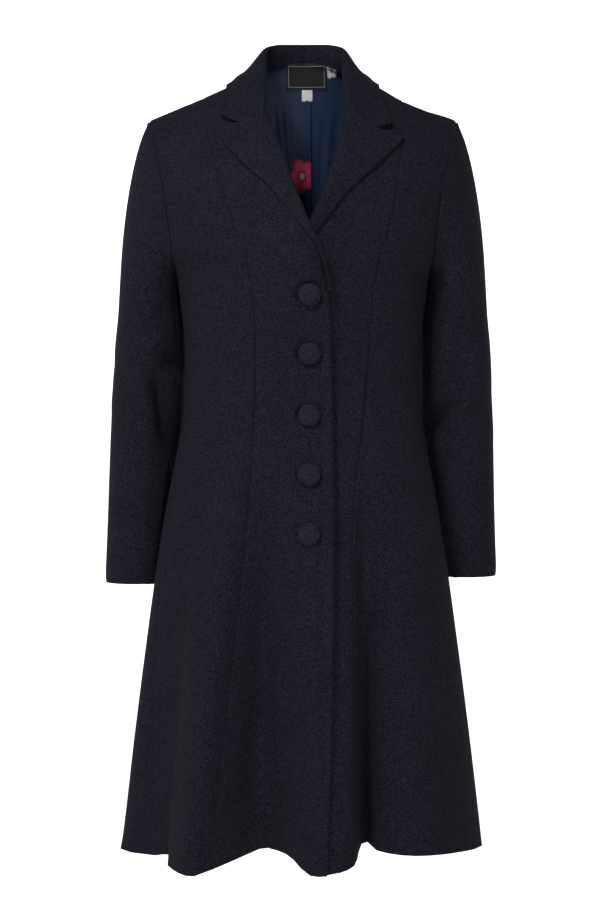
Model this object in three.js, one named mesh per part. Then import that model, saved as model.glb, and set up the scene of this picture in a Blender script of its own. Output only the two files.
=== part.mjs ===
import * as THREE from 'three';

// A woman's princess-line wool coat, filled out with no wearer. Millimetres, +Z up.
// The front faces -Y and the wearer's left is +X. The origin is inside the neck, level with the
// neck points. Each cut piece is a thin closed wall on one shared figure surface.

// Cloth and seams
const wall = 2.5;
const doubledWall = 3;
const liningWall = 1;
const labelWall = 0.6;
const seamGap = 0.3;
const layerGap = 1.7;

// Landmarks along the height
const hemStation = -1000;
const underarmStation = -255;
const shoulderStation = -10;
const breakStation = -278;
const leftBreakStation = -205;
const gorgeStation = -72;
const liningStation = -330;

// The right front laps over the left one
const overlapLift = 3.8;
const crossingLift = 9;

// Neck
const backNeckStation = -45;

// Buttons
const buttonRadius = 14;
const buttonHeight = 7.5;
const buttonX = 8;
// foot is how far the shank starts off the curved front, so that it just clears the wall's facets
const buttonPlaces = [
  { z: -284, foot: 0.4 }, { z: -357, foot: 0.5 }, { z: -436, foot: 0.8 }, { z: -510, foot: 0.05 },
  { z: -584, foot: 0.05 },
];

// Colours
const navy = 0x22222c;
const navyButton = 0x252530;
const liningBlue = 0x1f2a45;
const labelBlack = 0x17181a;
const tagWhite = 0xe6e6e2;

// Half the figure below the underarm: half width and depth of the side line, depth of the front and
// back centre lines, and how square the section is (1 is an ellipse, less is squarer).
const lowerRows = [
  { z: -1000, half: 213, side: -12, front: -122, back: 134, square: 0.95 },
  { z: -850, half: 203, side: -11, front: -120, back: 130, square: 0.95 },
  { z: -700, half: 190, side: -9, front: -117, back: 124, square: 0.94 },
  { z: -600, half: 180, side: -7, front: -114, back: 118, square: 0.93 },
  { z: -530, half: 170, side: -5, front: -110, back: 112, square: 0.92 },
  { z: -460, half: 157, side: -2, front: -102, back: 102, square: 0.91 },
  { z: -400, half: 151, side: 1, front: -97, back: 94, square: 0.9 },
  { z: -330, half: 154, side: 3, front: -106, back: 98, square: 0.9 },
  { z: -255, half: 164, side: 5, front: -119, back: 110, square: 0.92 },
];

// Above the underarm the outer point of a level runs up the armhole edge. turn is how far the
// level turns from facing forward, as a share of a right angle, and bend how late it drops.
const frontRows = [
  { station: -255, cy: -119, cz: -255, x: 164, y: 5, z: -255, turn: 1, square: 0.92, bend: 2 },
  { station: -224, cy: -121, cz: -222, x: 167, y: -46, z: -230, turn: 0.9, square: 0.96, bend: 2 },
  { station: -150, cy: -113, cz: -142, x: 174, y: -57, z: -165, turn: 0.78, square: 1, bend: 2 },
  { station: -75, cy: -74, cz: -52, x: 188, y: -36, z: -97, turn: 0.6, square: 1, bend: 1.6 },
  { station: -10, cy: 30, cz: 44, x: 196, y: 5, z: -53, turn: 0.3, square: 1, bend: 0.9 },
];
const backRows = [
  { station: -45, cy: 71, cz: 36, x: 193.5, y: 21, z: -74, turn: 0.45, square: 1, bend: 1.45 },
  { station: -75, cy: 82, cz: 6, x: 190, y: 38, z: -97, turn: 0.6, square: 1, bend: 1.6 },
  { station: -150, cy: 101, cz: -76, x: 180, y: 60, z: -165, turn: 0.78, square: 1, bend: 2 },
  { station: -224, cy: 109, cz: -190, x: 170, y: 50, z: -230, turn: 0.9, square: 0.96, bend: 2 },
  { station: -255, cy: 110, cz: -255, x: 164, y: 5, z: -255, turn: 1, square: 0.92, bend: 2 },
];

// Skirt folds: where each crest and valley lies at the hem, and the height at which it starts.
// at runs round the coat: 0 is the centre front, 1 the left side line, 2 the centre back.
const foldRows = [
  { name: 'back centre from the right', at: -2, x: 0, y: 132, z: -994, start: -450 },
  { name: 'right back crest', at: -1.8, x: -58, y: 168, z: -1004, start: -450 },
  { name: 'right back valley', at: -1.62, x: -108, y: 120, z: -991, start: -450 },
  { name: 'right back side crest', at: -1.44, x: -166, y: 144, z: -1004, start: -460 },
  { name: 'right back side valley', at: -1.28, x: -203, y: 76, z: -995, start: -480 },
  { name: 'right side', at: -1.06, x: -241, y: 20, z: -1004, start: -380 },
  { name: 'side hollow', at: -0.78, x: -198, y: -44, z: -1001, start: -440 },
  { name: 'behind the cone', at: -0.56, x: -173, y: -66, z: -996, start: -520 },
  { name: 'cone edge', at: -0.46, x: -170, y: -106, z: -1003, start: -500 },
  { name: 'cone crest', at: -0.32, x: -138, y: -150, z: -1005, start: -430 },
  { name: 'cone slope', at: -0.24, x: -93, y: -116, z: -995, start: -430 },
  { name: 'right valley', at: -0.16, x: -48, y: -86, z: -982, start: -450 },
  { name: 'front rise', at: -0.08, x: -18, y: -113, z: -985, start: -460 },
  { name: 'front crest', at: 0.03, x: 16, y: -155, z: -1004, start: -450 },
  { name: 'under flute', at: 0.13, x: 44, y: -154, z: -1001, start: -450 },
  { name: 'under flute edge', at: 0.2, x: 65, y: -134, z: -995, start: -450 },
  { name: 'flute side', at: 0.25, x: 71, y: -104, z: -985, start: -450 },
  { name: 'deep valley', at: 0.3, x: 80, y: -76, z: -976, start: -440 },
  { name: 'left panel edge', at: 0.36, x: 95, y: -104, z: -983, start: -450 },
  { name: 'left panel', at: 0.5, x: 142, y: -116, z: -987, start: -450 },
  { name: 'left panel side', at: 0.74, x: 203, y: -66, z: -992, start: -440 },
  { name: 'left side', at: 1.04, x: 236, y: 10, z: -996, start: -500 },
  { name: 'left back side valley', at: 1.26, x: 204, y: 78, z: -989, start: -480 },
  { name: 'left back side crest', at: 1.42, x: 170, y: 140, z: -1003, start: -460 },
  { name: 'left back valley', at: 1.6, x: 116, y: 121, z: -990, start: -450 },
  { name: 'left back crest', at: 1.78, x: 66, y: 170, z: -1005, start: -450 },
  { name: 'back centre from the left', at: 2, x: 0, y: 132, z: -994, start: -450 },
];
const foldGrowth = 1.15;
const hemLiftGrowth = 2.2;

// Steps along the figure for its normals, and halvings in a search along it
const shareStep = 0.012;
const wayStep = 2;
const seamStep = 0.002;
const searchSteps = 40;
const smallest = 1e-6;
const furthestLap = 0.45;

// Seam and edge lines in the front view: x at each height z.
const rightPrincess = [
  { z: -1004, x: -116 }, { z: -850, x: -100 }, { z: -700, x: -83 }, { z: -542, x: -67 },
  { z: -445, x: -62 }, { z: -380, x: -59 }, { z: -300, x: -61 }, { z: -263, x: -65 },
  { z: -229, x: -74 }, { z: -191, x: -89 }, { z: -131, x: -107 }, { z: -41, x: -131 },
];
const leftPrincess = [
  { z: -1000, x: 69 }, { z: -760, x: 66 }, { z: -600, x: 63 }, { z: -542, x: 64 },
  { z: -488, x: 72 }, { z: -420, x: 79 }, { z: -363, x: 84 }, { z: -281, x: 89 },
  { z: -225, x: 101 }, { z: -181, x: 114 }, { z: -90, x: 126 }, { z: -41, x: 131 },
];
const rightFrontEdge = [
  { z: -1004, x: 29.5 }, { z: -820, x: 35 }, { z: -640, x: 38.5 }, { z: -540, x: 39 },
  { z: -400, x: 37 }, { z: -330, x: 34.5 }, { z: -278, x: 31 }, { z: -240, x: 22 },
  { z: -200, x: 9.5 }, { z: -154, x: -8 }, { z: -104, x: -31 }, { z: -57, x: -51.5 },
  { z: -20, x: -57 }, { z: 8, x: -60 },
];
const leftFrontEdge = [
  { z: -1004, x: -24 }, { z: -640, x: -29 }, { z: -400, x: -29 }, { z: -278, x: -29 },
  { z: -240, x: -16 }, { z: -205, x: 8 }, { z: -172, x: 25 }, { z: -120, x: 43 },
  { z: -74, x: 55 }, { z: -50, x: 61 }, { z: -20, x: 61 }, { z: 8, x: 60 },
];
const rightSideSeam = [
  { z: -1004, at: -0.8 }, { z: -650, at: -0.9 }, { z: -450, at: -1 }, { z: -255, at: -1 },
];
const leftSideSeam = [
  { z: -1004, at: 0.86 }, { z: -650, at: 0.93 }, { z: -450, at: 1 }, { z: -255, at: 1 },
];
const backPrincess = [
  { z: -1004, x: 112 }, { z: -700, x: 86 }, { z: -400, x: 60 }, { z: -300, x: 66 },
  { z: -200, x: 86 }, { z: -100, x: 113 }, { z: -20, x: 131 },
];

// Lapel outer edges in the front view, from the break to the tip.
const rightLapelEdge = [
  { x: 31, z: -281 }, { x: 24, z: -239 }, { x: 17, z: -222 }, { x: 0, z: -198 },
  { x: -19, z: -172 }, { x: -43, z: -143 }, { x: -72, z: -118 }, { x: -96, z: -93 },
  { x: -114, z: -69 },
];
const leftLapelEdge = [
  { x: 14, z: -210 }, { x: 29, z: -190 }, { x: 44, z: -168 }, { x: 64, z: -146 },
  { x: 97, z: -117 }, { x: 122, z: -91 }, { x: 127, z: -83 },
];
const gorgeDip = 9;

// Collar from the centre back to the gorge: the top of the roll, and the middle and outer edge of
// the fall, which lie on the figure. Each is an x and a way over the shoulder from front to back.
const collarRows = [
  { along: 0, roll: [0, 70, 56], mid: [0, 46], edge: [0, 68] },
  { along: 0.3, roll: [32, 66, 55.5], mid: [42, 40], edge: [50, 64] },
  { along: 0.48, roll: [51.5, 48, 49], mid: [68, 20], edge: [84, 38] },
  { along: 0.62, roll: [57, 22, 37], mid: [75, -6], edge: [95, -5] },
  { along: 0.8, roll: [54, -14, 8], mid: [78, -36], edge: [97, -40] },
  { along: 1, roll: [52, -54, -38], mid: [78, -80], edge: [104, -66] },
];

// Sleeve rings below the armhole: centre, half width across and half depth front to back.
const sleeveRings = [
  { z: -285, x: 200.6, y: 29, across: 39.8, deep: 61 },
  { z: -312, x: 198.8, y: 37, across: 43.8, deep: 60 },
  { z: -350, x: 199.4, y: 42, across: 48.4, deep: 60 },
  { z: -420, x: 201, y: 49, across: 49.4, deep: 57 },
  { z: -480, x: 205.6, y: 55, across: 47.4, deep: 53 },
  { z: -550, x: 210.4, y: 60, across: 44.2, deep: 50 },
  { z: -620, x: 215.5, y: 68, across: 42, deep: 48 },
  { z: -652, x: 217.4, y: 72, across: 42.4, deep: 46 },
];

// How far each cuff hangs higher and further out than its ring
const cuffShift = { right: { up: -6, out: 4 }, left: { up: 3, out: -1 } };

// How far the sleeve turns outwards from the body at its seam, in degrees, from the shoulder point
// down the armhole to the underarm.
const sleeveTurn = [
  { share: 0, degrees: -4 }, { share: 0.3, degrees: 12 }, { share: 0.55, degrees: 42 },
  { share: 0.8, degrees: 100 }, { share: 1, degrees: 180 },
];
const sleeveCapRows = [0, 0.08, 0.25, 0.48, 0.74];
const sleeveLeave = 0.085;
const sleeveHang = 0.45;

// Sleeve seams, in armhole steps from the underarm
const frontSeamSteps = 2;
const backSeamSteps = 5;

// Levels of the wall grids
const lowerStations = [
  -1000, -930, -850, -765, -685, -615, -555, -500, -450, -400, -355, -315, -278, -255,
];
const upperStations = [
  -240, -224, -205, -178, -150, -120, -96, -72, -56, -42, -28, -19, -10,
];
const bodyStations = [...lowerStations, ...upperStations];

const vector = (x, y, z) => new THREE.Vector3(x, y, z);
const mix = (a, b, share) => a + (b - a) * share;
const between = (a, b, share) => a.clone().lerp(b, share);
const clamp = THREE.MathUtils.clamp;
const smoothRamp = (value, from, to) => THREE.MathUtils.smoothstep(value, from, to);

// A smooth curve through (xs, ys) that never overshoots its points
function smoothCurve(xs, ys) {
  const last = xs.length - 1;
  const slopes = xs.map(() => 0);
  const steps = [];
  for (let i = 0; i < last; i += 1) {
    steps.push((ys[i + 1] - ys[i]) / (xs[i + 1] - xs[i]));
  }
  slopes[0] = steps[0];
  slopes[last] = steps[last - 1];
  for (let i = 1; i < last; i += 1) {
    if (steps[i - 1] * steps[i] > 0) {
      slopes[i] = 2 / (1 / steps[i - 1] + 1 / steps[i]);
    }
  }
  return (x) => {
    const inside = clamp(x, xs[0], xs[last]);
    let i = 0;
    while (i < last - 1 && inside > xs[i + 1]) {
      i += 1;
    }
    const span = xs[i + 1] - xs[i];
    const t = (inside - xs[i]) / span;
    const rest = 1 - t;
    return (1 + 2 * t) * rest * rest * ys[i] + t * rest * rest * span * slopes[i]
      + t * t * (3 - 2 * t) * ys[i + 1] - t * t * rest * span * slopes[i + 1];
  };
}

const columnCurve = (rows, input, output) => smoothCurve(
  rows.map((row) => row[input]),
  rows.map((row) => row[output]),
);

// A place on the figure: side (1 left, -1 right), share from the centre line to the side line, and
// way, which runs from the front hem over the shoulder to the back hem.
const backWay = (station) => 2 * shoulderStation - station;
const overRows = [
  ...lowerRows.slice(0, -1).map((row) => ({ way: row.z, cy: row.front, cz: row.z })),
  ...frontRows.map((row) => ({ way: row.station, cy: row.cy, cz: row.cz })),
  ...backRows.map((row) => ({ way: backWay(row.station), cy: row.cy, cz: row.cz })),
  ...lowerRows.slice(0, -1).reverse().map((row) => ({ way: backWay(row.z), cy: row.back, cz: row.z })),
];
const armRows = [
  ...frontRows.map((row) => ({ ...row, way: row.station })),
  ...backRows.map((row) => ({ ...row, way: backWay(row.station) })),
];
const centreY = columnCurve(overRows, 'way', 'cy');
const centreZ = columnCurve(overRows, 'way', 'cz');
const lower = {
  x: columnCurve(lowerRows, 'z', 'half'),
  y: columnCurve(lowerRows, 'z', 'side'),
  square: columnCurve(lowerRows, 'z', 'square'),
};
const upper = {
  x: columnCurve(armRows, 'way', 'x'),
  y: columnCurve(armRows, 'way', 'y'),
  z: columnCurve(armRows, 'way', 'z'),
  turn: columnCurve(armRows, 'way', 'turn'),
  square: columnCurve(armRows, 'way', 'square'),
  bend: columnCurve(armRows, 'way', 'bend'),
};

function figurePoint(side, share, way) {
  const station = Math.min(way, backWay(way));
  const isLow = station <= underarmStation;
  const outerX = isLow ? lower.x(station) : upper.x(way);
  const outerY = isLow ? lower.y(station) : upper.y(way);
  const outerZ = isLow ? station : upper.z(way);
  const square = isLow ? lower.square(station) : upper.square(way);
  const bend = isLow ? 2 : upper.bend(way);
  const full = (Math.PI / 2) * (isLow ? 1 : upper.turn(way));
  const angle = share * full;
  const out = Math.sin(angle) / Math.sin(full);
  const forward = Math.max(0, (Math.cos(angle) - Math.cos(full)) / (1 - Math.cos(full)));
  return vector(
    side * outerX * out ** square,
    outerY + (centreY(way) - outerY) * forward ** square,
    centreZ(way) + (outerZ - centreZ(way)) * out ** bend,
  );
}

// at counts round the coat: 0 centre front, 1 left side line, 2 centre back, and minus on the right
const placeOf = (at, station, isBack = false) => {
  const onBack = station > underarmStation ? isBack : Math.abs(at) > 1;
  return {
    side: at < 0 ? -1 : 1,
    share: onBack ? 2 - Math.abs(at) : Math.abs(at),
    way: onBack ? backWay(station) : station,
  };
};
const atOf = (side, share, way) => side * (way > shoulderStation ? 2 - share : share);

// Each fold moves its line at the hem from the plain figure to its own crest or valley.
const foldShifts = foldRows.map((row) => {
  const place = placeOf(row.at, hemStation);
  const plain = figurePoint(place.side, place.share, place.way);
  return { at: row.at, x: row.x - plain.x, y: row.y - plain.y, z: row.z - plain.z, start: row.start };
});
const foldX = columnCurve(foldShifts, 'at', 'x');
const foldY = columnCurve(foldShifts, 'at', 'y');
const foldZ = columnCurve(foldShifts, 'at', 'z');
const foldStart = columnCurve(foldShifts, 'at', 'start');

function pointAt(side, share, way) {
  const station = Math.min(way, backWay(way));
  if (share < 0) {
    return pointAt(-side, -share, way);
  }
  if (share > 1) {
    return station > underarmStation ? pointAt(side, 1, way) : pointAt(side, 2 - share, backWay(way));
  }
  const point = figurePoint(side, share, way);
  const at = atOf(side, share, way);
  const start = foldStart(at);
  const grown = clamp((start - station) / (start - hemStation), 0, 1);
  point.x += foldX(at) * grown ** foldGrowth;
  point.y += foldY(at) * grown ** foldGrowth;
  point.z += foldZ(at) * grown ** hemLiftGrowth;
  return point;
}

function normalAt(side, share, way) {
  const across = pointAt(side, share + shareStep, way).sub(pointAt(side, share - shareStep, way));
  const rise = pointAt(side, share, Math.min(way + wayStep, backWay(hemStation)))
    .sub(pointAt(side, share, Math.max(way - wayStep, hemStation)));
  return across.cross(rise).normalize().multiplyScalar(side);
}

// The right front lies outside the left one, and further out where the lapels cross.
const lapSpread = { from: -0.26, to: -0.13 };
const lapTop = { from: -170, to: -110 };
const crossingStart = { from: -262, to: -225 };
const crossingEnd = { from: -178, to: -130 };
const crossingSpread = { from: -0.1, to: -0.02 };
const rampOver = (value, range) => smoothRamp(value, range.from, range.to);

function liftOf(at, station) {
  const high = 1 - rampOver(station, lapTop);
  const crossing = rampOver(station, crossingStart) * (1 - rampOver(station, crossingEnd));
  const lift = overlapLift * high + crossingLift * crossing * rampOver(at, crossingSpread);
  return lift * rampOver(at, lapSpread);
}

const cellBetween = (from, to, share) => ({
  outer: between(from.outer, to.outer, share),
  inner: between(from.inner, to.inner, share),
});

function coatPlace(at, station, isBack, lifted) {
  const { side, share, way } = placeOf(at, station, isBack);
  const normal = normalAt(side, share, way);
  const lift = lifted ? liftOf(at, station) : 0;
  return { point: pointAt(side, share, way).addScaledVector(normal, lift), normal };
}

// Finds at on one level where the coat's x is the given line's x at that height
function traceLine(side, lineX, station, isBack) {
  const way = isBack ? backWay(station) : station;
  let low = isBack ? 0 : -furthestLap;
  let high = 1;
  for (let i = 0; i < searchSteps; i += 1) {
    const middle = (low + high) / 2;
    const point = pointAt(side, middle, way);
    if (side * (point.x - lineX(point.z)) > 0) {
      high = middle;
    } else {
      low = middle;
    }
  }
  return side * (isBack ? 2 - low : low);
}

// Moves a seam edge in by half the seam gap
function trimmed(at, station, isBack, direction) {
  const step = seamStep * direction;
  const from = coatPlace(at, station, isBack).point;
  const to = coatPlace(at + step, station, isBack).point;
  return at + (step * seamGap) / 2 / Math.max(from.distanceTo(to), smallest);
}

const heightLine = (rows, output = 'x') => columnCurve(rows, 'z', output);
const lines = {
  right: {
    side: -1,
    edge: heightLine(rightFrontEdge),
    princess: heightLine(rightPrincess),
    sideSeam: heightLine(rightSideSeam, 'at'),
    back: heightLine(backPrincess.map((row) => ({ z: row.z, x: -row.x }))),
  },
  left: {
    side: 1,
    edge: heightLine(leftFrontEdge),
    princess: heightLine(leftPrincess),
    sideSeam: heightLine(leftSideSeam, 'at'),
    back: heightLine(backPrincess),
  },
};
const edgeAt = (hand, station) => traceLine(lines[hand].side, lines[hand].edge, station, false);
const princessAt = (hand, station) => traceLine(lines[hand].side, lines[hand].princess, station, false);
const backSeamAt = (hand, station) => traceLine(lines[hand].side, lines[hand].back, station, true);
const sideSeamAt = (hand, station) => (station >= underarmStation
  ? lines[hand].side
  : lines[hand].sideSeam(station));

// The back neckline climbs from the centre back to the neck point.
const neckColumns = [0, 0.1, 0.2, 0.29, 0.365, 0.42, 0.452];
const neckColumn = neckColumns[neckColumns.length - 1];
function backTop(column) {
  const reach = clamp(column / neckColumn, 0, 1);
  const climb = 1 - Math.sqrt(1 - reach * reach);
  return mix(backNeckStation, shoulderStation, climb);
}
function underNeck(station, column) {
  if (station <= underarmStation) {
    return station;
  }
  const rise = (station - underarmStation) / (shoulderStation - underarmStation);
  return mix(underarmStation, backTop(column), rise);
}

const evenColumns = (count, power = 1) => Array.from(
  { length: count + 1 },
  (_, i) => (i / count) ** power,
);

// A grid of wall cells, each with its outer and inner point
function panelCells({ columns, from, to, isBack = false, lifted = false, topOf, tops = true }) {
  return bodyStations.map((station) => {
    const start = from(station);
    const end = to(station);
    return columns.map((column) => {
      const level = topOf ? topOf(station, column) : station;
      const shoulderTrim = tops && level === shoulderStation ? seamGap / 2 : 0;
      const startAt = topOf ? from(level) : start;
      const endAt = topOf ? to(level) : end;
      const place = coatPlace(mix(startAt, endAt, column), level - shoulderTrim, isBack, lifted);
      return cellOf(place, 0, wall);
    });
  });
}

function cellOf(place, depth, thickness) {
  return {
    outer: place.point.clone().addScaledVector(place.normal, -depth),
    inner: place.point.clone().addScaledVector(place.normal, -depth - thickness),
  };
}

const frontColumns = 11;
const sideFrontColumns = {
  right: evenColumns(12, 1.1),
  left: evenColumns(13, 1.35),
};
const sideBackColumns = evenColumns(8, 0.9);

const centreFrontCells = (hand) => panelCells({
  columns: evenColumns(frontColumns),
  from: (station) => edgeAt(hand, station),
  to: (station) => trimmed(princessAt(hand, station), station, false, -lines[hand].side),
  lifted: hand === 'right',
});
const sideFrontCells = (hand) => panelCells({
  columns: sideFrontColumns[hand],
  from: (station) => trimmed(princessAt(hand, station), station, false, lines[hand].side),
  to: (station) => (station >= underarmStation
    ? lines[hand].side
    : trimmed(sideSeamAt(hand, station), station, false, -lines[hand].side)),
});
const sideBackCells = (hand) => panelCells({
  columns: sideBackColumns,
  from: (station) => (station >= underarmStation
    ? lines[hand].side
    : trimmed(sideSeamAt(hand, station), station, true, lines[hand].side)),
  to: (station) => trimmed(backSeamAt(hand, station), station, true, -lines[hand].side),
  isBack: true,
});
const centreBackColumns = [...neckColumns, 0.6, 0.8, 1];
const centreBackCells = (hand) => panelCells({
  columns: centreBackColumns,
  from: (station) => trimmed(2 * lines[hand].side, station, true, -lines[hand].side),
  to: (station) => trimmed(backSeamAt(hand, station), station, true, lines[hand].side),
  isBack: true,
  topOf: underNeck,
});

// Closes a grid of cells into one thin solid
function closedWall(cells) {
  const rows = cells.length;
  const columns = cells[0].length;
  const points = [];
  const faces = [];
  for (const key of ['outer', 'inner']) {
    cells.forEach((row) => row.forEach((cell) => points.push(...cell[key].toArray())));
  }
  const outerAt = (row, column) => row * columns + column;
  const innerAt = (row, column) => rows * columns + outerAt(row, column);
  const quad = (a, b, c, d) => faces.push(a, b, c, a, c, d);
  for (let row = 0; row < rows - 1; row += 1) {
    for (let column = 0; column < columns - 1; column += 1) {
      const [above, beside] = [row + 1, column + 1];
      quad(outerAt(row, column), outerAt(row, beside), outerAt(above, beside), outerAt(above, column));
      quad(innerAt(row, column), innerAt(above, column), innerAt(above, beside), innerAt(row, beside));
    }
    const end = columns - 1;
    quad(outerAt(row, 0), outerAt(row + 1, 0), innerAt(row + 1, 0), innerAt(row, 0));
    quad(outerAt(row, end), innerAt(row, end), innerAt(row + 1, end), outerAt(row + 1, end));
  }
  for (let column = 0; column < columns - 1; column += 1) {
    const end = rows - 1;
    quad(outerAt(0, column), innerAt(0, column), innerAt(0, column + 1), outerAt(0, column + 1));
    quad(outerAt(end, column), outerAt(end, column + 1), innerAt(end, column + 1), innerAt(end, column));
  }
  return facingOut(points, faces);
}

function facingOut(points, faces) {
  const corner = (index) => vector(...points.slice(3 * index, 3 * index + 3));
  let volume = 0;
  for (let i = 0; i < faces.length; i += 3) {
    volume += corner(faces[i]).dot(corner(faces[i + 1]).cross(corner(faces[i + 2])));
  }
  if (volume < 0) {
    faces.reverse();
  }
  const geometry = new THREE.BufferGeometry();
  geometry.setAttribute('position', new THREE.Float32BufferAttribute(points, 3));
  geometry.setIndex(faces);
  return geometry;
}

// Smooth normals of a grid of points, turned to agree with a known outward direction
function gridNormals(points, outward) {
  return points.map((row, i) => row.map((point, j) => {
    const up = points[Math.min(i + 1, points.length - 1)][j].clone().sub(points[Math.max(i - 1, 0)][j]);
    const along = row[Math.min(j + 1, row.length - 1)].clone().sub(row[Math.max(j - 1, 0)]);
    const normal = along.cross(up).normalize();
    return normal.multiplyScalar(outward);
  }));
}

// Sleeves
const armStations = bodyStations.filter((station) => station >= underarmStation);
function armholeLoop(hand) {
  const { side } = lines[hand];
  const front = [...armStations].reverse();
  const back = armStations.slice(1, -1);
  const places = [
    ...front.map((station) => coatPlace(side, station, false)),
    ...back.map((station) => coatPlace(side, station, true)),
  ];
  const top = places[0].point;
  const low = places[front.length - 1].point;
  const lengthTo = (from, to) => {
    let length = 0;
    for (let i = from; i < to; i += 1) {
      length += places[i].point.distanceTo(places[(i + 1) % places.length].point);
    }
    return length;
  };
  const under = front.length - 1;
  const frontLength = lengthTo(0, under);
  const backLength = lengthTo(under, places.length);
  const turn = columnCurve(sleeveTurn, 'share', 'degrees');
  return places.map((place, i) => {
    const before = places[(i + places.length - 1) % places.length].point;
    const after = places[(i + 1) % places.length].point;
    const along = after.clone().sub(before).normalize();
    const outward = place.normal.clone().cross(along).normalize();
    const middle = between(top, low, 0.5);
    if (outward.dot(middle.sub(place.point)) < 0) {
      outward.negate();
    }
    const share = i <= under ? lengthTo(0, i) / frontLength : lengthTo(i, places.length) / backLength;
    const angle = THREE.MathUtils.degToRad(turn(share));
    const round = (i <= under ? -1 : 1) * Math.PI * share;
    return { place, outward, angle, round };
  });
}

function ringPoint(ring, side, round, shift) {
  const cuffZ = sleeveRings[sleeveRings.length - 1].z;
  const down = smoothRamp(-ring.z, -sleeveRings[0].z, -cuffZ);
  return vector(
    side * (ring.x + ring.across * Math.cos(round) + shift.out * down),
    ring.y + ring.deep * Math.sin(round),
    ring.z + shift.up * down,
  );
}

function sleeveCells(hand) {
  const { side } = lines[hand];
  const loop = armholeLoop(hand);
  const shift = cuffShift[hand];
  const paths = loop.map(({ place, outward, angle, round }) => {
    const leave = outward.clone().multiplyScalar(Math.cos(angle))
      .addScaledVector(place.normal, Math.sin(angle));
    const aside = outward.clone().multiplyScalar(Math.cos(angle / 2))
      .addScaledVector(place.normal, Math.sin(angle / 2));
    const start = place.point.clone().addScaledVector(aside, seamGap);
    const end = ringPoint(sleeveRings[0], side, round, shift);
    const reach = start.distanceTo(end);
    const curve = new THREE.CubicBezierCurve3(
      start,
      start.clone().addScaledVector(leave, reach * sleeveLeave),
      end.clone().add(vector(0, 0, reach * sleeveHang)),
      end,
    );
    return [
      ...sleeveCapRows.map((t) => curve.getPoint(t)),
      ...sleeveRings.map((ring) => ringPoint(ring, side, round, shift)),
    ];
  });
  const count = paths.length;
  return paths.map((path, i) => path.map((point, k) => {
    if (k === 0) {
      const { place, outward, angle } = loop[i];
      const inward = place.normal.clone().multiplyScalar(-Math.cos(angle))
        .addScaledVector(outward, Math.sin(angle));
      return { outer: point, inner: point.clone().addScaledVector(inward, wall) };
    }
    const along = paths[(i + 1) % count][k].clone().sub(paths[(i + count - 1) % count][k]);
    const down = path[Math.min(k + 1, path.length - 1)].clone().sub(path[k - 1]);
    const normal = along.cross(down).normalize();
    const axis = vector(side * sleeveRings[0].x, sleeveRings[0].y, point.z);
    if (normal.dot(point.clone().sub(axis)) < 0) {
      normal.negate();
    }
    return { outer: point, inner: point.clone().addScaledVector(normal, -wall) };
  }));
}

// Takes a run of columns out of the closed sleeve, its ends trimmed by half the seam gap
function sleeveRun(columns, from, to) {
  const run = [];
  const count = columns.length;
  for (let i = from; i <= to; i += 1) {
    run.push(columns[(i + count) % count]);
  }
  const trim = (edge, next) => edge.map((cell, k) => {
    const share = seamGap / 2 / Math.max(cell.outer.distanceTo(next[k].outer), seamGap);
    return cellBetween(cell, next[k], share);
  });
  run[0] = trim(run[0], run[1]);
  run[run.length - 1] = trim(run[run.length - 1], run[run.length - 2]);
  return run;
}

// Lapels and collar
const lapelShares = [0.25, 0.4, 0.72, 1];
const rollRadius = 3;
const rollStep = 4;
const lapelTop = 0.75;
const dipReach = 0.9;
const arcAngles = [-90, -45, 0, 45, 90].map(THREE.MathUtils.degToRad);

const lowestFind = -800;

function findPlace(hand, x, z) {
  const { side } = lines[hand];
  let low = lowestFind;
  let high = shoulderStation;
  for (let i = 0; i < searchSteps; i += 1) {
    const middle = (low + high) / 2;
    const point = pointAt(1, Math.abs(traceLine(side, () => x, middle, false)), middle);
    if (point.z > z) {
      high = middle;
    } else {
      low = middle;
    }
  }
  return { at: traceLine(side, () => x, low, false), station: low };
}

function rollFrame(hand, station) {
  const at = edgeAt(hand, station);
  const place = coatPlace(at, station, false, hand === 'right');
  const edgePoint = (level) => coatPlace(edgeAt(hand, level), level, false, hand === 'right').point;
  const along = edgePoint(station + rollStep).sub(edgePoint(station - rollStep)).normalize();
  const opening = place.normal.clone().cross(along).normalize();
  if (opening.x * lines[hand].side > 0) {
    opening.negate();
  }
  return { at, station, place, opening, along };
}

function rollArc(place, opening, radius) {
  const centre = place.point.clone().addScaledVector(opening, seamGap)
    .addScaledVector(place.normal, rollRadius);
  const outerRadius = radius + doubledWall;
  return arcAngles.map((angle) => {
    const direction = opening.clone().multiplyScalar(Math.cos(angle))
      .addScaledVector(place.normal, Math.sin(angle));
    return {
      outer: centre.clone().addScaledVector(direction, outerRadius),
      inner: centre.clone().addScaledVector(direction, outerRadius - doubledWall),
    };
  });
}

const lapelSettings = {
  right: { from: breakStation, edge: rightLapelEdge },
  left: { from: leftBreakStation, edge: leftLapelEdge },
};

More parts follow.
